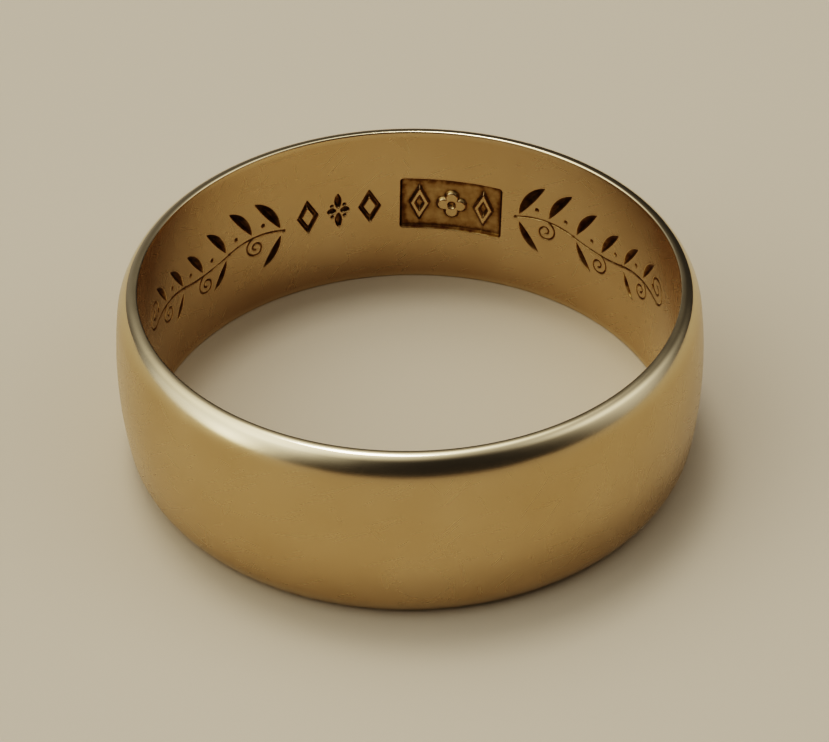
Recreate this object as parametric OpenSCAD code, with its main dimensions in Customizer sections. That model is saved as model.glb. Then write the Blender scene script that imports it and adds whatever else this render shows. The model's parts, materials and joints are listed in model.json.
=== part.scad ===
// Plain gold wedding band with a low domed outside and a straight bore.
// It stands on one edge, with its axis upright and its origin at the middle of that edge's plane.
// The bore wall carries a row of marks: a spray, three punched marks, a stamped panel, a spray.

/* [Band] */
// Diameter of the finger hole
bore_d = 19.8; // [15:0.1:24]
// Width of the band, from edge to edge
band_w = 7; // [5.5:0.1:10]
// Wall at the middle of the band, under the top of the dome
crown_t = 1; // [0.8:0.05:1.6]
// Wall at either edge, before the shoulders and corners are rounded
edge_t = 0.64; // [0.6:0.01:0.75]
// Radius of the soft shoulders, where the dome turns toward an edge
shoulder_r = 1.8; // [1.4:0.1:2.2]
// Radius of the worn outer corners
corner_r = 0.42; // [0.2:0.01:0.45]
// Width of the narrow flat left on either edge
edge_flat = 0.08; // [0.05:0.01:0.1]
// Radius of the bore's two softened lips
lip_r = 0.06; // [0.03:0.01:0.08]

/* [Row of marks] */
// Depth of every stamped, punched or engraved mark
mark_depth = 0.15; // [0.05:0.01:0.25]
// Height of the row's middle line above the middle of the band
row_up = 0.05; // [-0.4:0.05:0.4]
// Distance round the wall from the back of the band to the panel's middle
panel_along = 1.75; // [1:0.05:2.5]
// Clear wall between the panel and the punched marks
punch_gap = 0.75; // [0.4:0.05:1.2]
// Clear wall between a spray and the mark beside it
spray_gap = 0.6; // [0.4:0.05:1.2]

/* [Stamped panel] */
// Length of the panel round the wall
panel_l = 4.2; // [3.5:0.1:5.2]
// Height of the panel
panel_h = 2.4; // [2:0.1:3]
// Radius of the panel's corners
panel_r = 0.15; // [0.05:0.05:0.4]
// Tilt of the panel, which was struck by hand
panel_tilt = -1.5; // [-4:0.5:4]
// Distance between the raised motifs
motif_pitch = 1.3; // [1.1:0.05:1.5]
// Height of a raised lozenge, whose width is half of that
lozenge_h = 1.6; // [1.2:0.1:1.9]
// Radius of a raised rosette's lobes
lobe_r = 0.27; // [0.2:0.01:0.32]

/* [Punched marks] */
// Distance between the three marks
punch_pitch = 1.3; // [1.1:0.05:1.6]
// Height of a punched mark
punch_h = 1.65; // [1.3:0.05:2]
// Width of a punched mark
punch_w = 0.95; // [0.8:0.05:1]
// Width of a punched line
punch_line = 0.2; // [0.12:0.01:0.25]

/* [Engraved sprays] */
// Pairs of leaves in the right spray
right_pairs = 6; // [2:1:6]
// Height of the right spray's stem above the row's middle line
right_up = 0; // [-0.5:0.05:0.3]
// Pairs of leaves in the left spray
left_pairs = 6; // [2:1:6]
// Height of the left spray's stem above the row's middle line
left_up = -0.3; // [-0.5:0.05:0.3]
// Distance between the pairs, along the stem
leaf_pitch = 1.35; // [1:0.05:1.65]
// Length of the first leaf above the stem
leaf_l = 2; // [1.2:0.05:2.4]
// Greatest width of the first leaf
leaf_w = 0.42; // [0.37:0.01:0.5]
// Bend of the first leaf off the straight
leaf_bend = 0.14; // [0.05:0.01:0.18]
// Angle between the stem and a leaf
leaf_angle = 54; // [40:1:70]
// Size of each leaf as a share of the one before it
leaf_taper = 0.94; // [0.85:0.01:1]
// Size of a leaf below the stem as a share of the one above it
lower_leaf = 0.8; // [0.5:0.05:1]
// Clear metal between the stem's middle and a leaf's stalk
stalk_gap = 0.14; // [0.08:0.01:0.2]
// Width of the engraved stem and curls
stem_w = 0.1; // [0.06:0.01:0.15]
// Height of the stem's waves
wave_h = 0.2; // [0.1:0.05:0.4]
// Radius of a curl's first half turn
curl_r = 0.42; // [0.3:0.01:0.5]
// Radius of the berries
berry_r = 0.1; // [0.05:0.01:0.15]

/* [Hidden] */
$fn = 96;
bore_r = bore_d / 2;
outer_r = bore_r + crown_t;
mid_z = band_w / 2;
row_z = mid_z + row_up;
// The dome is an arc through the middle of the outside and both square edges.
dome_drop = crown_t - edge_t;
dome_r = round(1000 * ((pow(mid_z, 2) + pow(dome_drop, 2)) / (2 * dome_drop))) / 1000;
dome_x = outer_r - dome_r;
// A corner's circle touches the edge's plane from below, where the flat ends.
corner_z = mid_z - corner_r;
corner_x = bore_r + lip_r + edge_flat;
// A shoulder's circle touches the dome and the corner's circle, both from inside. Its middle makes
// a triangle with theirs, whose angle at the dome's middle gives where the shoulder starts.
to_dome = dome_r - shoulder_r;
to_corner = shoulder_r - corner_r;
apart = norm([corner_x - dome_x, corner_z]);
apart_turn = acos((pow(to_dome, 2) + pow(apart, 2) - pow(to_corner, 2)) / (2 * to_dome * apart));
shoulder_turn = atan2(corner_z, corner_x - dome_x) - apart_turn;
shoulder_x = dome_x + to_dome * cos(shoulder_turn);
shoulder_z = to_dome * sin(shoulder_turn);
corner_turn = atan2(corner_z - shoulder_z, corner_x - shoulder_x);
// A cutter starts inside the bore and stops in the wall.
cutter_in = 1;
cutter_l = cutter_in + 2 * mark_depth;
// The punched marks stand left of the panel, and a spray starts beyond each end of the row.
punch_along = panel_along - panel_l / 2 - punch_gap - punch_pitch - punch_w / 2;
right_start = panel_along + panel_l / 2 + spray_gap;
left_start = punch_pitch + punch_w / 2 + spray_gap - punch_along;
// A lozenge's hollow as a share of it, and the eye of a rosette
hollow = 0.42;
eye_r = lobe_r / 2;
// A punched flower's petals are wider than the lines beside it, and small dots lie between them.
petal_w = 1.5 * punch_line;
dot_r = 0.8 * berry_r;
// Each wave of the stem spans two pairs of leaves.
wave_l = 2 * leaf_pitch;
wave_r = (pow(wave_l / 2, 2) + pow(wave_h, 2)) / (2 * wave_h);
wave_turn = asin(wave_l / 2 / wave_r);
// A round knot, wider than the stem, lies wherever two waves meet and at both ends of the stem.
knot_r = 0.8 * stem_w;

// Part of a disc between two angles less than a half turn apart, or exactly that
module sector(r, from, to) {
    mid = (from + to) / 2;
    far = 2 * r / cos((to - from) / 4);
    intersection() {
        circle(r);
        polygon([
            [0, 0], far * [cos(from), sin(from)], far * [cos(mid), sin(mid)], far * [cos(to), sin(to)]
        ]);
    }
}

// Cut through the wall, seen from the axis with the band's middle line level.
// Distances go out from the bore's axis and up from the middle of the band.
module section() {
    lip_x = bore_r + lip_r;
    lip_z = mid_z - lip_r;
    // where the shoulder starts: a point over the core's side, and one well outside the dome
    start = [corner_x, (corner_x - dome_x) * tan(shoulder_turn)];
    start_far = [dome_x, 0] + 2 * dome_r * [cos(shoulder_turn), sin(shoulder_turn)];
    // where the shoulder ends, well outside the corner
    end_far = [corner_x, corner_z] + 2 * shoulder_r * [cos(corner_turn), sin(corner_turn)];
    shoulder_near = [round(100 * shoulder_x) / 100, round(100 * shoulder_z) / 100];
    // straight-sided core, without the two lips
    polygon([
        [lip_x, -mid_z], [corner_x, -mid_z], [corner_x, mid_z], [lip_x, mid_z],
        [lip_x, lip_z], [bore_r, lip_z], [bore_r, -lip_z], [lip_x, -lip_z]
    ]);
    // low dome between the two shoulders
    intersection() {
        translate([dome_x, 0]) circle(dome_r);
        polygon([
            [start[0], -start[1]], [start_far[0], -start_far[1]], start_far, start
        ]);
    }
    for (side = [0, 1]) {
        mirror([0, side]) {
            intersection() {
                // a long move and a short one, so that the arcs meet with no step between them
                translate(shoulder_near) translate([shoulder_x, shoulder_z] - shoulder_near)
                    circle(shoulder_r);
                polygon([start, start_far, end_far, [corner_x, corner_z]]);
            }
            // it shares the shoulder's end line
            intersection() {
                translate([corner_x, corner_z]) circle(corner_r);
                polygon([[corner_x, corner_z], end_far, [corner_x, end_far[1]]]);
            }
            translate([lip_x, lip_z]) sector(lip_r, 90, 180);
        }
    }
}

// Cuts a flat drawing into the bore wall, its middle at a distance round the wall from the back
// of the band and at a height over the row's middle line. The drawing is seen from the axis.
module cut_wall(along, up = 0, tilt = 0) {
    rotate([0, 0, -along / bore_r * 180 / PI])
        translate([0, bore_r - cutter_in + cutter_l, row_z + up])
            rotate([90, 0, 0])
                linear_extrude(cutter_l) rotate(tilt) children();
}

module lozenge(w, h) {
    polygon([[w / 2, 0], [0, h / 2], [-w / 2, 0], [0, -h / 2]]);
}

// Disc whose rim passes through the origin and [l, 0] and bulges by rise above the line between
module bulge(l, rise) {
    r = (pow(l / 2, 2) + pow(rise, 2)) / (2 * rise);
    translate([l / 2, rise - r]) circle(r);
}

// Leaf with its stalk at the origin, leaning at an angle and bent upward
module leaf(l, w, bend, angle) {
    rotate(angle) {
        intersection() {
            bulge(l, w / 2 + bend);
            mirror([0, 1]) bulge(l, w / 2 - bend);
        }
    }
}

// Thin line along an arc between two angles
module arc_line(r, from, to) {
    difference() {
        sector(r + stem_w / 2, from, to);
        circle(r - stem_w / 2);
    }
}

// Thin line that leaves the origin to the right and curls up in three tightening half turns
module curl(r) {
    translate([0, r]) arc_line(r, -90, 90);
    translate([0, 1.35 * r]) arc_line(0.65 * r, 90, 270);
    translate([0, 1.05 * r]) arc_line(0.35 * r, -90, 90);
}

// Four round lobes with an eye in the middle
module rosette() {
    difference() {
        for (turn = [0 : 90 : 270]) {
            rotate(turn) translate([1.2 * lobe_r, 0]) circle(lobe_r);
        }
        circle(eye_r);
    }
}

module panel_outline() {
    square([panel_l - 2 * panel_r, panel_h], center = true);
    square([panel_l, panel_h - 2 * panel_r], center = true);
    for (x = [-1, 1], y = [-1, 1]) {
        translate([x * (panel_l / 2 - panel_r), y * (panel_h / 2 - panel_r)]) circle(panel_r);
    }
}

// Sunk panel that leaves a rosette standing between two hollow lozenges
module stamped_panel() {
    cut_wall(panel_along, 0, panel_tilt) {
        difference() {
            panel_outline();
            rosette();
            for (side = [-1, 1]) {
                translate([side * motif_pitch, 0]) {
                    difference() {
                        lozenge(lozenge_h / 2, lozenge_h);
                        lozenge(hollow * lozenge_h / 2, hollow * lozenge_h);
                    }
                }
            }
        }
    }
}

// Two outlined lozenges with a four-petalled flower between them
module punched_marks() {
    inner = 1 - 2 * punch_line * norm([punch_w, punch_h]) / (punch_w * punch_h);
    for (side = [-1, 1]) {
        cut_wall(punch_along + side * punch_pitch) {
            difference() {
                lozenge(punch_w, punch_h);
                lozenge(inner * punch_w, inner * punch_h);
            }
        }
    }
    for (turn = [0 : 90 : 270]) {
        reach = (turn % 180 == 0 ? punch_w : punch_h) / 2;
        cut_wall(punch_along) {
            rotate(turn) translate([dot_r, 0]) leaf(reach - dot_r, petal_w, 0, 0);
            rotate(turn + 45) translate([punch_w / 2.6, 0]) circle(dot_r);
        }
    }
}

// Height of the stem over its own level, at a distance along it
function stem_up(x) =
    let (i = floor(x / wave_l))
    let (off = x - (i + 0.5) * wave_l)
    (i % 2 == 0 ? 1 : -1) * (sqrt(pow(wave_r, 2) - pow(off, 2)) - wave_r + wave_h);

// Spray on a waving stem, with a leaf above at every step and a leaf or a curl below in turn.
// It grows away from the row's middle: to the right, or to the left when way is -1.
module spray(start, level, pairs, way) {
    waves = ceil(pairs / 2);
    flip = [way < 0 ? 1 : 0, 0];
    for (i = [0 : waves - 1]) {
        bend = i % 2 == 0 ? 1 : -1;
        cut_wall(way * (start + (i + 0.5) * wave_l), level + bend * (wave_h - wave_r))
            rotate(bend > 0 ? 0 : 180)
                arc_line(wave_r, 90 - wave_turn, 90 + wave_turn);
    }
    for (i = [0 : waves]) {
        cut_wall(way * (start + i * wave_l), level) circle(knot_r);
    }
    for (i = [0 : pairs - 1]) {
        x = i * leaf_pitch;
        grown = pow(leaf_taper, i);
        small = lower_leaf * grown;
        cut_wall(way * (start + x), level + stem_up(x)) {
            mirror(flip) {
                translate([stalk_gap, stalk_gap])
                    leaf(grown * leaf_l, grown * leaf_w, grown * leaf_bend, leaf_angle);
                mirror([0, 1]) {
                    if (i % 2 == 0) {
                        translate([stalk_gap, stalk_gap])
                            leaf(small * leaf_l, small * leaf_w, small * leaf_bend, leaf_angle);
                    } else {
                        curl(curl_r);
                    }
                }
            }
        }
        berry_x = x + 0.7 * leaf_pitch;
        cut_wall(way * (start + berry_x), level + stem_up(berry_x) + curl_r) circle(berry_r);
    }
    cut_wall(way * (start + waves * wave_l), level) mirror(flip) curl(1.3 * curl_r);
}

module marks() {
    intersection() {
        cylinder(r = bore_r + mark_depth, h = band_w);
        union() {
            stamped_panel();
            punched_marks();
            spray(right_start, right_up, right_pairs, 1);
            spray(left_start, left_up, left_pairs, -1);
        }
    }
}

module band() {
    color("goldenrod") difference() {
        translate([0, 0, mid_z]) rotate_extrude() section();
        marks();
    }
}

band();
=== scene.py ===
import json
import math

import bpy
import numpy as np
from mathutils import Matrix, Vector


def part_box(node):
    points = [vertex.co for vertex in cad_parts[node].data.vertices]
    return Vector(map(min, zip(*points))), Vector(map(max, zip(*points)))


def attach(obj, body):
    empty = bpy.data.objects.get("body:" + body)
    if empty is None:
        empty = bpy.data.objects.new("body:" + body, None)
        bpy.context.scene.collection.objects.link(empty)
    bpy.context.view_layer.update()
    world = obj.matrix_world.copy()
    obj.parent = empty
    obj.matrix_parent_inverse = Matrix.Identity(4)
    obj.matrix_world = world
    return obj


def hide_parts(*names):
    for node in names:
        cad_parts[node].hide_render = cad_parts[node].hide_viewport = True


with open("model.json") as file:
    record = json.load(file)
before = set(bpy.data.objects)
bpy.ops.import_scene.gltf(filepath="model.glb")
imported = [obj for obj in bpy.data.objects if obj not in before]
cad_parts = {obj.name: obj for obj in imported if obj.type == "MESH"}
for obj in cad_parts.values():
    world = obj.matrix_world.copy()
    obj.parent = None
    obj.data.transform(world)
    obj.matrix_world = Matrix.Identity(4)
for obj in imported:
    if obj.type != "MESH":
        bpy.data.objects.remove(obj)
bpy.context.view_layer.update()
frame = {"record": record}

# Lengths are in millimetres until a mesh is made, when MM turns them into metres.
MM = 0.001

# ---------------------------------------------------------------- the band's own sizes
low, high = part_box("band")
BAND_W = (high.z - low.z) / MM
OUTER_R = (high.x - low.x) / 2 / MM
BORE = next(m for m in frame["record"]["mounts"] if m["name"] == "finger_bore")
BORE_R = BORE["dims"]["r_mm"]
LIP_R = (BAND_W - BORE["dims"]["length_mm"]) / 2
MID_Z = BAND_W / 2
EDGE_T = 0.64
SHOULDER_R, CORNER_R, EDGE_FLAT = 1.8, 0.42, 0.08

# ---------------------------------------------------------------- the marks on the bore wall
MARK_DEPTH = 0.15
ROW_Z = MID_Z + 0.05
PANEL_ALONG, PUNCH_GAP, SPRAY_GAP = 1.75, 0.75, 0.6
PANEL_L, PANEL_H, PANEL_R, PANEL_TILT = 4.2, 2.4, 0.15, -1.5
MOTIF_PITCH, LOZENGE_H, HOLLOW = 1.3, 1.6, 0.42
LOBE_R = 0.27
EYE_R = LOBE_R / 2
PUNCH_PITCH, PUNCH_H, PUNCH_W, PUNCH_LINE = 1.3, 1.65, 0.95, 0.2
RIGHT_PAIRS, RIGHT_UP, LEFT_PAIRS, LEFT_UP = 6, 0, 6, -0.3
LEAF_PITCH, LEAF_L, LEAF_W, LEAF_BEND = 1.35, 2.0, 0.42, 0.14
LEAF_ANGLE, LEAF_TAPER, LOWER_LEAF, STALK_GAP = 54, 0.94, 0.8, 0.14
STEM_W, WAVE_H, CURL_R, BERRY_R = 0.1, 0.2, 0.42, 0.1
PETAL_W, DOT_R = 1.5 * PUNCH_LINE, 0.8 * BERRY_R
PUNCH_ALONG = PANEL_ALONG - PANEL_L / 2 - PUNCH_GAP - PUNCH_PITCH - PUNCH_W / 2
RIGHT_START = PANEL_ALONG + PANEL_L / 2 + SPRAY_GAP
LEFT_START = PUNCH_PITCH + PUNCH_W / 2 + SPRAY_GAP - PUNCH_ALONG
WAVE_L = 2 * LEAF_PITCH
WAVE_R = ((WAVE_L / 2) ** 2 + WAVE_H**2) / (2 * WAVE_H)
WAVE_TURN = math.degrees(math.asin(WAVE_L / 2 / WAVE_R))
KNOT_R = 0.8 * STEM_W
CUT_SLOPE = 0.85  # how far a graver's cut goes down for each mm in from its edge
PUNCH_SIDE, STAMP_SIDE, MOTIF_SIDE = 0.06, 0.1, 0.12  # how far in from an outline its side ends
BURR_H, BURR_W = 0.008, 0.035

# ---------------------------------------------------------------- how fine the mesh is
COLUMNS = 264
WALL_ROWS = 30
SPLIT = 8


def smooth_step(value):
    """Rises from 0 to 1 as value does, level at both ends: 3 v^2 - 2 v^3."""
    v = np.clip(value, 0, 1)
    return v * v * (3 - 2 * v)


def turned(x, y, degrees):
    """The same points as seen by a shape that is turned by so many degrees."""
    c, s = math.cos(math.radians(degrees)), math.sin(math.radians(degrees))
    return c * x + s * y, c * y - s * x


# Each of these says how far inside an outline a point lies, in mm, and is negative outside.
def in_disc(x, y, r):
    """Radius less the distance from the middle."""
    return r - np.hypot(x, y)


def in_lozenge(x, y, w, h):
    """Distance to the nearest side of a diamond of width w and height h."""
    return (1 - 2 * np.abs(x) / w - 2 * np.abs(y) / h) * (w * h / 2) / math.hypot(w, h)


def in_leaf(x, y, length, width, bend, angle):
    """Two discs overlap in a leaf with its stalk at the origin; the nearer of their rims counts.
    One bulges up by half the width and the bend, the other down by half the width less the bend."""
    x, y = turned(x, y, angle)
    inside = []
    for side in (1, -1):
        rise = width / 2 + side * bend
        r = ((length / 2) ** 2 + rise**2) / (2 * rise)
        inside.append(r - np.hypot(x - length / 2, y - side * (rise - r)))
    return np.minimum(*inside)


def in_arc(x, y, r, first, last, width):
    """Half the line's width, less the distance to an arc from one angle to another, in degrees."""
    middle, half = (first + last) / 2, (last - first) / 2
    u, v = turned(x, y, middle)
    turn = np.clip(np.degrees(np.arctan2(v, u)), -half, half)
    off = np.hypot(u - r * np.cos(np.radians(turn)), v - r * np.sin(np.radians(turn)))
    return width / 2 - off


def in_panel(x, y, length, height, r):
    """Distance to the sides of a rectangle whose corners are rounded to r."""
    dx, dy = np.abs(x) - length / 2 + r, np.abs(y) - height / 2 + r
    return r - np.hypot(np.maximum(dx, 0), np.maximum(dy, 0)) - np.minimum(np.maximum(dx, dy), 0)


def in_curl(x, y, r):
    """A thin line that leaves the origin to the right and curls up in three tightening half turns."""
    first = in_arc(x, y - r, r, -90, 90, STEM_W)
    second = in_arc(x, y - 1.35 * r, 0.65 * r, 90, 270, STEM_W)
    third = in_arc(x, y - 1.05 * r, 0.35 * r, -90, 90, STEM_W)
    return np.maximum.reduce([first, second, third])


def stem_up(x):
    """Height of the stem's wave at x: alternate arcs of radius WAVE_R, bent up and down."""
    i = math.floor(x / WAVE_L)
    off = x - (i + 0.5) * WAVE_L
    bend = 1 if i % 2 == 0 else -1
    return bend * (math.sqrt(WAVE_R**2 - off**2) - WAVE_R + WAVE_H)


def spray(s, h, start, level, pairs, way):
    """The nearest of a spray's cuts: arcs for the stem with knots between them, leaves above, leaves
    and curls below in turn, berries, and a curl at the stem's end."""
    x0, y0 = way * s - start, h - level
    cuts = []
    waves = math.ceil(pairs / 2)
    for i in range(waves):
        bend = 1 if i % 2 == 0 else -1
        x, y = x0 - (i + 0.5) * WAVE_L, bend * y0 - (WAVE_H - WAVE_R)
        cuts.append(in_arc(x, y, WAVE_R, 90 - WAVE_TURN, 90 + WAVE_TURN, STEM_W))
    for i in range(waves + 1):
        cuts.append(in_disc(x0 - i * WAVE_L, y0, KNOT_R))
    for i in range(pairs):
        x, y = x0 - i * LEAF_PITCH, y0 - stem_up(i * LEAF_PITCH)
        for side, size in ((1, LEAF_TAPER**i), (-1, LOWER_LEAF * LEAF_TAPER**i)):
            if side < 0 and i % 2 == 1:
                cuts.append(in_curl(x, -y, CURL_R))
                continue
            leaf = (size * LEAF_L, size * LEAF_W, size * LEAF_BEND, LEAF_ANGLE)
            cuts.append(in_leaf(x - STALK_GAP, side * y - STALK_GAP, *leaf))
        berry = (i + 0.7) * LEAF_PITCH
        cuts.append(in_disc(x0 - berry, y0 - stem_up(berry) - CURL_R, BERRY_R))
    cuts.append(in_curl(x0 - waves * WAVE_L, y0, 1.3 * CURL_R))
    return np.maximum.reduce(cuts)


def punched(s, h):
    """Two outlined lozenges and, between them, a flower of four petals and four dots."""
    cuts = []
    inner = 1 - 2 * PUNCH_LINE * math.hypot(PUNCH_W, PUNCH_H) / (PUNCH_W * PUNCH_H)
    for side in (-1, 1):
        x = s - PUNCH_ALONG - side * PUNCH_PITCH
        outline = in_lozenge(x, h, PUNCH_W, PUNCH_H)
        hole = in_lozenge(x, h, inner * PUNCH_W, inner * PUNCH_H)
        cuts.append(np.minimum(outline, -hole))
    x = s - PUNCH_ALONG
    for turn in (0, 90, 180, 270):
        reach = (PUNCH_W if turn % 180 == 0 else PUNCH_H) / 2
        u, v = turned(x, h, turn)
        cuts.append(in_leaf(u - DOT_R, v, reach - DOT_R, PETAL_W, 0, 0))
        u, v = turned(x, h, turn + 45)
        cuts.append(in_disc(u - PUNCH_W / 2.6, v, DOT_R))
    return np.maximum.reduce(cuts)


def stamped(s, h):
    """The panel's own outline, and the outline of the motifs that stand up in it."""
    x, y = turned(s - PANEL_ALONG, h, PANEL_TILT)
    field = in_panel(x, y, PANEL_L, PANEL_H, PANEL_R)
    lobes = []
    for turn in (0, 90, 180, 270):
        u, v = turned(x, y, turn)
        lobes.append(in_disc(u - 1.2 * LOBE_R, v, LOBE_R))
    motifs = [np.minimum(np.maximum.reduce(lobes), -in_disc(x, y, EYE_R))]
    for side in (-1, 1):
        outline = in_lozenge(x - side * MOTIF_PITCH, y, LOZENGE_H / 2, LOZENGE_H)
        hole = in_lozenge(x - side * MOTIF_PITCH, y, HOLLOW * LOZENGE_H / 2, HOLLOW * LOZENGE_H)
        motifs.append(np.minimum(outline, -hole))
    return field, np.maximum.reduce(motifs)


def wall_marks(s, h):
    """Depth of the marks below the wall, and how dark each spot is, from 0 to 1: patina in the marks, with
    painted shade along the stamped panel's sides and round its motifs.

    The graver's cuts are V-shaped, so their depth grows evenly from both sides; the punches and
    the stamp have steep sides and a level floor; each cut has thrown up a low rounded burr."""
    h = h + MID_Z - ROW_Z
    lines = np.maximum(
        spray(s, h, RIGHT_START, RIGHT_UP, RIGHT_PAIRS, 1),
        spray(s, h, LEFT_START, LEFT_UP, LEFT_PAIRS, -1),
    )
    punch = punched(s, h)
    field, motifs = stamped(s, h)
    depth = CUT_SLOPE * np.maximum(lines, 0)
    depth = np.maximum(depth, MARK_DEPTH * smooth_step(punch / PUNCH_SIDE))
    floor = MARK_DEPTH * smooth_step(field / STAMP_SIDE)
    raised = smooth_step(0.5 + motifs / MOTIF_SIDE)
    depth = np.maximum(depth, floor * (1 - 0.9 * raised))
    edge = np.maximum.reduce([lines, punch, field])
    burr = BURR_H * np.exp(-((edge / BURR_W) ** 2))
    # patina: thickest in the graver's cuts, then in the punches, thinner over the panel's floor; the extra
    # darkening along the panel's sides and round its motifs is painted shade
    dark = 0.6 * smooth_step(lines / 0.03) + 0.25 * smooth_step(lines / 0.14)
    dark = np.maximum(dark, 0.62 * smooth_step(punch / 0.04))
    # painted shade: the panel's floor darkens further near its sides and round the foot of its motifs
    border = 0.3 + 0.5 * np.exp(-((field / 0.2) ** 2)) + 0.25 * np.exp(-((motifs / 0.12) ** 2))
    dark = np.maximum(dark, border * smooth_step(field / 0.03) * (1 - raised))
    return depth - burr, dark


def outside_profile():
    """The section from the bore wall's top, over the outside, to its bottom: quarter circles at the
    lips, flats, the worn corners' arcs, the soft shoulders' arcs and the dome's arc.

    A shoulder's circle touches the dome's and the corner's from inside, so its middle makes a triangle
    with theirs whose sides are the differences of the radii."""
    drop = OUTER_R - BORE_R - EDGE_T
    dome_r = (MID_Z**2 + drop**2) / (2 * drop)
    dome_x = OUTER_R - dome_r
    corner_x, corner_z = BORE_R + LIP_R + EDGE_FLAT, MID_Z - CORNER_R
    to_dome, to_corner = dome_r - SHOULDER_R, SHOULDER_R - CORNER_R
    apart = math.hypot(corner_x - dome_x, corner_z)
    share = (to_dome**2 + apart**2 - to_corner**2) / (2 * to_dome * apart)
    shoulder_turn = math.atan2(corner_z, corner_x - dome_x) - math.acos(share)
    shoulder_x = dome_x + to_dome * math.cos(shoulder_turn)
    shoulder_z = to_dome * math.sin(shoulder_turn)
    corner_turn = math.atan2(corner_z - shoulder_z, corner_x - shoulder_x)

    def arc(x, z, r, first, last, steps):
        t = np.linspace(first, last, steps + 1)
        return x + r * np.cos(t), z + r * np.sin(t)

    lip = arc(BORE_R + LIP_R, MID_Z - LIP_R, LIP_R, math.pi, math.pi / 2, 4)
    flat = (np.linspace(BORE_R + LIP_R, corner_x, 3)[1:-1], np.full(1, MID_Z))
    corner = arc(corner_x, corner_z, CORNER_R, math.pi / 2, corner_turn, 8)
    shoulder = arc(shoulder_x, shoulder_z, SHOULDER_R, corner_turn, shoulder_turn, 8)
    dome = arc(dome_x, 0, dome_r, shoulder_turn, 0, 8)
    parts = (lip, flat, [c[:-1] for c in corner], [c[:-1] for c in shoulder], dome)
    x = np.concatenate([part[0] for part in parts])
    z = np.concatenate([part[1] for part in parts])
    return np.concatenate([x, x[-2::-1]]), np.concatenate([z, -z[-2::-1]])


def wear_and_sheen(r, h):
    """How much a spot has been rubbed smooth and given a painted highlight, from 0 to 1: most at the
    corners and lips of both edges, fading in over the last 0.9 mm of the outside and the last 0.25 mm of
    the bore wall. The rubbing makes these spots smoother; their paler tone is a painted highlight."""
    inside = smooth_step((BORE_R + LIP_R - r) / LIP_R + 1)
    reach = 0.9 - 0.65 * inside
    return smooth_step((np.abs(h) - MID_Z + reach) / reach)


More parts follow.
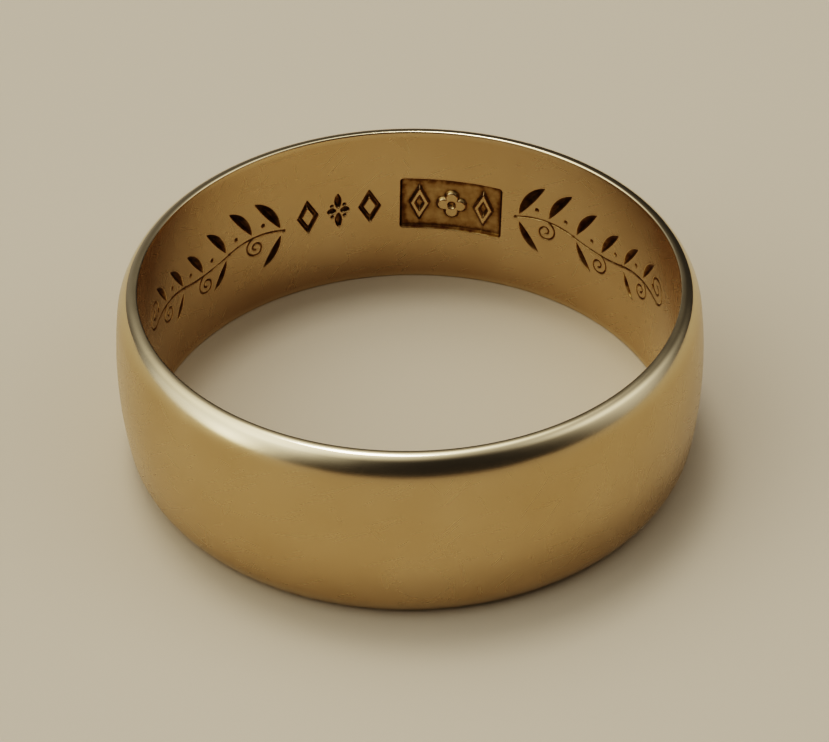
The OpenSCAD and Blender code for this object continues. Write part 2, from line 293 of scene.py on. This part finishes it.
def band_faces():
    """Builds the whole band as one closed skin.

    The bore wall is a lattice of COLUMNS by WALL_ROWS cells. A cell that a mark crosses is split into
    SPLIT by SPLIT, and each whole cell beside it takes the points along their shared side, so that
    no seam is open. The rest is the section's outline carried round the axis."""
    wide, tall = COLUMNS * SPLIT, WALL_ROWS * SPLIT
    wall_h = BAND_W - 2 * LIP_R

    def place(i, k):
        s = (i / wide - 0.5) * 2 * math.pi * BORE_R
        h = (k / tall - 0.5) * wall_h
        return s, h

    # which cells a mark crosses: those whose depth varies over their lattice points
    ci, ck = np.meshgrid(np.arange(COLUMNS), np.arange(WALL_ROWS), indexing="ij")
    a, b = np.meshgrid(np.arange(SPLIT + 1), np.arange(SPLIT + 1), indexing="ij")
    fine_i = ci[..., None, None] * SPLIT + a
    fine_k = ck[..., None, None] * SPLIT + b
    depth, _ = wall_marks(*place(fine_i, fine_k))
    split = np.ptp(depth, axis=(2, 3)) > 2e-4
    split[:, [0, -1]] = False

    def key(i, k):
        return (i % wide) * (tall + 1) + k

    # small cells of the split ones, each with its corners in turn, seen from the axis
    si, sk = np.nonzero(split)
    u, v = np.meshgrid(np.arange(SPLIT), np.arange(SPLIT), indexing="ij")
    i0 = (si[:, None, None] * SPLIT + u).ravel()
    k0 = (sk[:, None, None] * SPLIT + v).ravel()
    small = np.stack([key(i0, k0), key(i0 + 1, k0), key(i0 + 1, k0 + 1), key(i0, k0 + 1)], 1)

    # whole cells, with the points of a side that a split neighbour shares
    wi, wk = np.nonzero(~split)
    up, down = np.roll(split, -1, 1), np.roll(split, 1, 1)
    up[:, -1] = down[:, 0] = False
    right, left = np.roll(split, -1, 0), np.roll(split, 1, 0)
    t = np.arange(SPLIT)
    i0, k0 = wi[:, None] * SPLIT, wk[:, None] * SPLIT
    sides = [
        (down, i0 + t, k0 + 0 * t),
        (right, i0 + SPLIT + 0 * t, k0 + t),
        (up, i0 + SPLIT - t, k0 + SPLIT + 0 * t),
        (left, i0 + 0 * t, k0 + SPLIT - t),
    ]
    rows = [np.where(near[wi, wk][:, None] | (t == 0), key(i, k), -1) for near, i, k in sides]
    whole = np.concatenate(rows, 1)

    keys, index = np.unique(np.concatenate([small.ravel(), whole[whole >= 0]]), return_inverse=True)
    wall_i, wall_k = keys // (tall + 1), keys % (tall + 1)
    s, h = place(wall_i, wall_k)
    depth, dark = wall_marks(s, h)
    r_wall = BORE_R + depth
    turn = s / BORE_R

    # the rest of the skin: rows of COLUMNS points, between the wall's top and bottom rows
    out_r, out_z = outside_profile()
    out_r, out_z = out_r[1:-1], out_z[1:-1]
    column_turn = (np.arange(COLUMNS) / COLUMNS - 0.5) * 2 * math.pi
    grid = len(keys) + np.arange(len(out_r) * COLUMNS).reshape(len(out_r), COLUMNS)
    top = np.searchsorted(keys, key(np.arange(COLUMNS) * SPLIT, tall))
    bottom = np.searchsorted(keys, key(np.arange(COLUMNS) * SPLIT, 0))
    rings = np.vstack([top, grid, bottom])
    nxt = np.roll(rings, -1, 1)
    quads = np.stack([rings[:-1], nxt[:-1], nxt[1:], rings[1:]], -1).reshape(-1, 4)

    angle = np.concatenate([turn, np.tile(column_turn, len(out_r))])
    radius = np.concatenate([r_wall, np.repeat(out_r, COLUMNS)])
    height = np.concatenate([h, np.repeat(out_z, COLUMNS)]) + MID_Z
    points = np.stack([radius * np.sin(angle), radius * np.cos(angle), height], 1) * MM
    shade = np.concatenate([dark, np.zeros(len(out_r) * COLUMNS)])
    worn = wear_and_sheen(radius, height - MID_Z)

    counts = np.concatenate([np.full(len(small), 4), (whole >= 0).sum(1), np.full(len(quads), 4)])
    loops = np.concatenate([index.ravel(), quads.ravel()])
    return points, counts, loops, {"dark": shade, "worn": worn}


def make_mesh(name, points, counts, loops):
    """A smooth mesh from its points, the number of corners of each face, and all corners in turn."""
    mesh = bpy.data.meshes.new(name)
    mesh.vertices.add(len(points))
    mesh.vertices.foreach_set("co", points.astype(np.float32).ravel())
    mesh.loops.add(len(loops))
    mesh.loops.foreach_set("vertex_index", loops.astype(np.int32))
    mesh.polygons.add(len(counts))
    mesh.polygons.foreach_set("loop_start", (np.cumsum(counts) - counts).astype(np.int32))
    mesh.polygons.foreach_set("use_smooth", np.ones(len(counts), bool))
    mesh.update(calc_edges=True)
    return mesh


# ---------------------------------------------------------------- materials
def new_material(name):
    material = bpy.data.materials.new(name)
    material.use_nodes = True
    tree = material.node_tree
    return material, tree, tree.nodes["Principled BSDF"]


def add(tree, kind, settings=None, **inputs):
    """A node with its settings made and its inputs set or linked, by the sockets' names."""
    node = tree.nodes.new(kind)
    for key, value in (settings or {}).items():
        setattr(node, key, value)
    for key, value in inputs.items():
        numbered = key[0] == "i" and key[1:].isdigit()
        socket = node.inputs[int(key[1:]) if numbered else key.replace("_", " ")]
        if isinstance(value, bpy.types.NodeSocket):
            tree.links.new(value, socket)
        else:
            socket.default_value = value
    return node


def gold():
    """Satin gold: cloudy tone, hairline scratches, smoother metal where worn with a paler tone there that
    is a painted highlight, dark patina in the marks, and painted shade along the stamped panel's sides and
    round its motifs."""
    material, tree, shader = new_material("worn_gold")
    shader.inputs["Metallic"].default_value = 1.0
    place = add(tree, "ShaderNodeTexCoord").outputs["Object"]
    mm = add(tree, "ShaderNodeVectorMath", {"operation": "SCALE"}, i0=place, Scale=1 / MM).outputs[0]
    dark = add(tree, "ShaderNodeAttribute", {"attribute_name": "dark"}).outputs["Fac"]
    worn = add(tree, "ShaderNodeAttribute", {"attribute_name": "worn"}).outputs["Fac"]
    cloud = add(tree, "ShaderNodeTexNoise", None, Vector=mm, Scale=0.3, Detail=3.0, Roughness=0.5)
    cloud = cloud.outputs["Fac"]

    def ramp(value, low, high, first=0.0, last=1.0):
        """Goes evenly from first to last as value goes from low to high, and stays there."""
        node = add(tree, "ShaderNodeMapRange", None, Value=value)
        for name, limit in zip(("From Min", "From Max", "To Min", "To Max"), (low, high, first, last)):
            node.inputs[name].default_value = limit
        return node.outputs[0]

    def mix(share, first, second):
        node = add(tree, "ShaderNodeMix", {"data_type": "RGBA"}, i0=share, i6=first, i7=second)
        return node.outputs[2]

    tone = mix(cloud, (0.57, 0.42, 0.235, 1), (0.70, 0.545, 0.35, 1))
    # painted highlight: the worn corners, lips and shoulders get a paler, whiter tone that stands in for
    # their whiter highlights
    tone = mix(worn, tone, (0.76, 0.63, 0.43, 1))
    # patina in the marks, uneven from spot to spot: olive where it is thin, maroon where it is thick; along
    # the stamped panel's sides and round its motifs the same darkening is painted shade
    spots = add(tree, "ShaderNodeTexNoise", None, Vector=mm, Scale=3.5, Detail=2.0).outputs["Fac"]
    uneven = ramp(spots, 0.3, 0.7, 0.7, 1.3)
    patina_and_shade = add(tree, "ShaderNodeMath", {"operation": "MULTIPLY"}, i0=dark, i1=uneven)
    patina_and_shade.use_clamp = True
    tone = mix(ramp(patina_and_shade.outputs[0], 0.0, 0.6), tone, (0.27, 0.165, 0.04, 1))
    tone = mix(ramp(patina_and_shade.outputs[0], 0.45, 0.95), tone, (0.09, 0.032, 0.014, 1))
    tree.links.new(tone, shader.inputs["Base Color"])

    def drawn(turn, stretch):
        """Noise drawn out along the directions whose stretch is small, after a turn."""
        mapping = add(tree, "ShaderNodeMapping", None, Vector=mm)
        mapping.inputs["Rotation"].default_value = [math.radians(t) for t in turn]
        long = add(tree, "ShaderNodeVectorMath", {"operation": "MULTIPLY"}, i0=mapping.outputs[0])
        long.inputs[1].default_value = stretch
        noise = add(tree, "ShaderNodeTexNoise", None, Vector=long.outputs[0], Scale=1.0, Detail=1.0)
        return noise.outputs["Fac"]

    def total(*values):
        so_far = values[0]
        for value in values[1:]:
            so_far = add(tree, "ShaderNodeMath", {"operation": "ADD"}, i0=so_far, i1=value).outputs[0]
        return so_far

    # polishing lines round the band, sparse hairline scratches across them, and soft shallow dents
    polish = drawn((0, 0, 0), (0.3, 0.3, 7))
    cuts = total(
        ramp(drawn((35, 15, 0), (0.5, 0.5, 9)), 0.66, 0.72),
        ramp(drawn((-50, 25, 60), (0.5, 0.5, 9)), 0.66, 0.72),
        ramp(drawn((80, -20, 20), (0.6, 0.6, 9)), 0.68, 0.74),
    )
    dents = add(tree, "ShaderNodeTexNoise", None, Vector=mm, Scale=0.45, Detail=1.0).outputs["Fac"]
    last = None
    for height, depth in ((dents, 0.02), (polish, 0.0005), (cuts, -0.00025)):
        bump = add(tree, "ShaderNodeBump", None, Height=height, Strength=1.0, Distance=abs(depth) * MM)
        bump.invert = depth < 0
        if last is not None:
            tree.links.new(last, bump.inputs["Normal"])
        last = bump.outputs[0]
    tree.links.new(last, shader.inputs["Normal"])

    def blend(share, first, second):
        node = add(tree, "ShaderNodeMix", {"data_type": "FLOAT"}, i0=share, i2=first, i3=second)
        return node.outputs[0]

    rough = blend(cloud, 0.22, 0.3)
    rough = blend(cuts, rough, 0.29)
    rough = blend(worn, rough, 0.13)
    rough = blend(dark, rough, 0.5)
    tree.links.new(rough, shader.inputs["Roughness"])
    return material


def floor_paint():
    material, tree, shader = new_material("pale_floor")
    shader.inputs["Base Color"].default_value = (0.56, 0.48, 0.37, 1)
    shader.inputs["Roughness"].default_value = 0.7
    return material


# ---------------------------------------------------------------- pieces
def make_band():
    points, counts, loops, values = band_faces()
    mesh = make_mesh("gold_band", points, counts, loops)
    for name, value in values.items():
        layer = mesh.attributes.new(name, "FLOAT", "POINT")
        layer.data.foreach_set("value", value.astype(np.float32))
    piece = bpy.data.objects.new("gold_band", mesh)
    bpy.context.collection.objects.link(piece)
    mesh.materials.append(gold())
    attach(piece, "root")
    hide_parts("band")
    return piece


def make_floor():
    side = 1.5
    corners = np.array([(-side, -side, 0), (side, -side, 0), (side, side, 0), (-side, side, 0)])
    mesh = make_mesh("floor", corners, np.array([4]), np.arange(4))
    floor = bpy.data.objects.new("floor", mesh)
    bpy.context.collection.objects.link(floor)
    mesh.materials.append(floor_paint())


# ---------------------------------------------------------------- light and camera
def direction(azimuth, elevation):
    """Unit vector; azimuth 0 is toward -Y, where the camera stands, and 90 toward +X."""
    a, e = math.radians(azimuth), math.radians(elevation)
    return Vector((math.sin(a) * math.cos(e), -math.cos(a) * math.cos(e), math.sin(e)))


def soft_light(name, azimuth, elevation, distance, size, power, colour):
    data = bpy.data.lights.new(name, "AREA")
    data.shape = "RECTANGLE"
    data.size, data.size_y = size
    data.energy = power
    data.color = colour
    lamp = bpy.data.objects.new(name, data)
    bpy.context.collection.objects.link(lamp)
    toward = direction(azimuth, elevation)
    lamp.location = toward * distance
    lamp.rotation_mode = "QUATERNION"
    lamp.rotation_quaternion = toward.to_track_quat("Z", "Y")


def make_world():
    """Dim all round, with soft lobes of light about a few directions.

    A lobe's share is its direction's dot product with the ray, no less than 0, to a power."""
    world = bpy.data.worlds.new("studio")
    bpy.context.scene.world = world
    world.use_nodes = True
    tree = world.node_tree
    toward = add(tree, "ShaderNodeTexCoord").outputs["Generated"]
    total = (0.05, 0.05, 0.05)
    lobes = [
        (direction(-95, 62), 6, (1.25, 1.26, 1.22)),
        (direction(-58, 34), 14, (0.85, 0.88, 0.88)),
        (direction(-88, 6), 12, (0.7, 0.73, 0.75)),
        (direction(-66, 6), 40, (1.3, 1.35, 1.35)),
        (direction(92, 42), 10, (0.9, 0.91, 0.9)),
        (direction(180, 65), 24, (1.15, 1.15, 1.12)),
        (direction(90, 3), 14, (0.3, 0.31, 0.32)),
        (direction(-155, 3), 12, (0.2, 0.2, 0.2)),
    ]
    for heading, power, tint in lobes:
        dot = add(tree, "ShaderNodeVectorMath", {"operation": "DOT_PRODUCT"}, i0=toward, i1=heading)
        share = add(tree, "ShaderNodeMath", {"operation": "MAXIMUM"}, i0=dot.outputs["Value"], i1=0.0)
        share = add(tree, "ShaderNodeMath", {"operation": "POWER"}, i0=share.outputs[0], i1=power)
        part = add(tree, "ShaderNodeVectorMath", {"operation": "SCALE"}, i0=tint, Scale=share.outputs[0])
        total = add(
            tree, "ShaderNodeVectorMath", {"operation": "ADD"}, i0=total, i1=part.outputs[0]
        ).outputs[0]
    tree.links.new(total, tree.nodes["Background"].inputs["Color"])
    tree.nodes["Background"].inputs["Strength"].default_value = 1.0


def make_light():
    make_world()
    soft_light("key", 205, 75, 0.6, (0.15, 0.15), 0.62, (1, 1, 1))


def make_camera():
    """Looks at the band from in front and above, slightly rolled, with the frame's middle just below it."""
    data = bpy.data.cameras.new("camera")
    data.lens, data.sensor_width = 107.4, 36
    data.shift_x, data.shift_y = 0.0054, -0.0214
    data.clip_start, data.clip_end = 0.001, 10
    camera = bpy.data.objects.new("camera", data)
    bpy.context.collection.objects.link(camera)
    out = direction(0, 37.39)
    right = Vector((1, 0, 0))
    up = out.cross(right)
    roll = -0.0115
    side = math.cos(roll) * right + math.sin(roll) * up
    top = math.cos(roll) * up - math.sin(roll) * right
    distance = 9.341 * BORE_R * MM
    middle = Vector((0, 0, MID_Z * MM))
    turn = Matrix((side, top, out)).transposed().to_4x4()
    camera.matrix_world = Matrix.Translation(middle + out * distance) @ turn
    bpy.context.scene.camera = camera


make_band()
make_floor()
make_light()
make_camera()
bpy.context.scene.view_settings.view_transform = "Filmic"
bpy.context.scene.view_settings.look = "Very High Contrast"
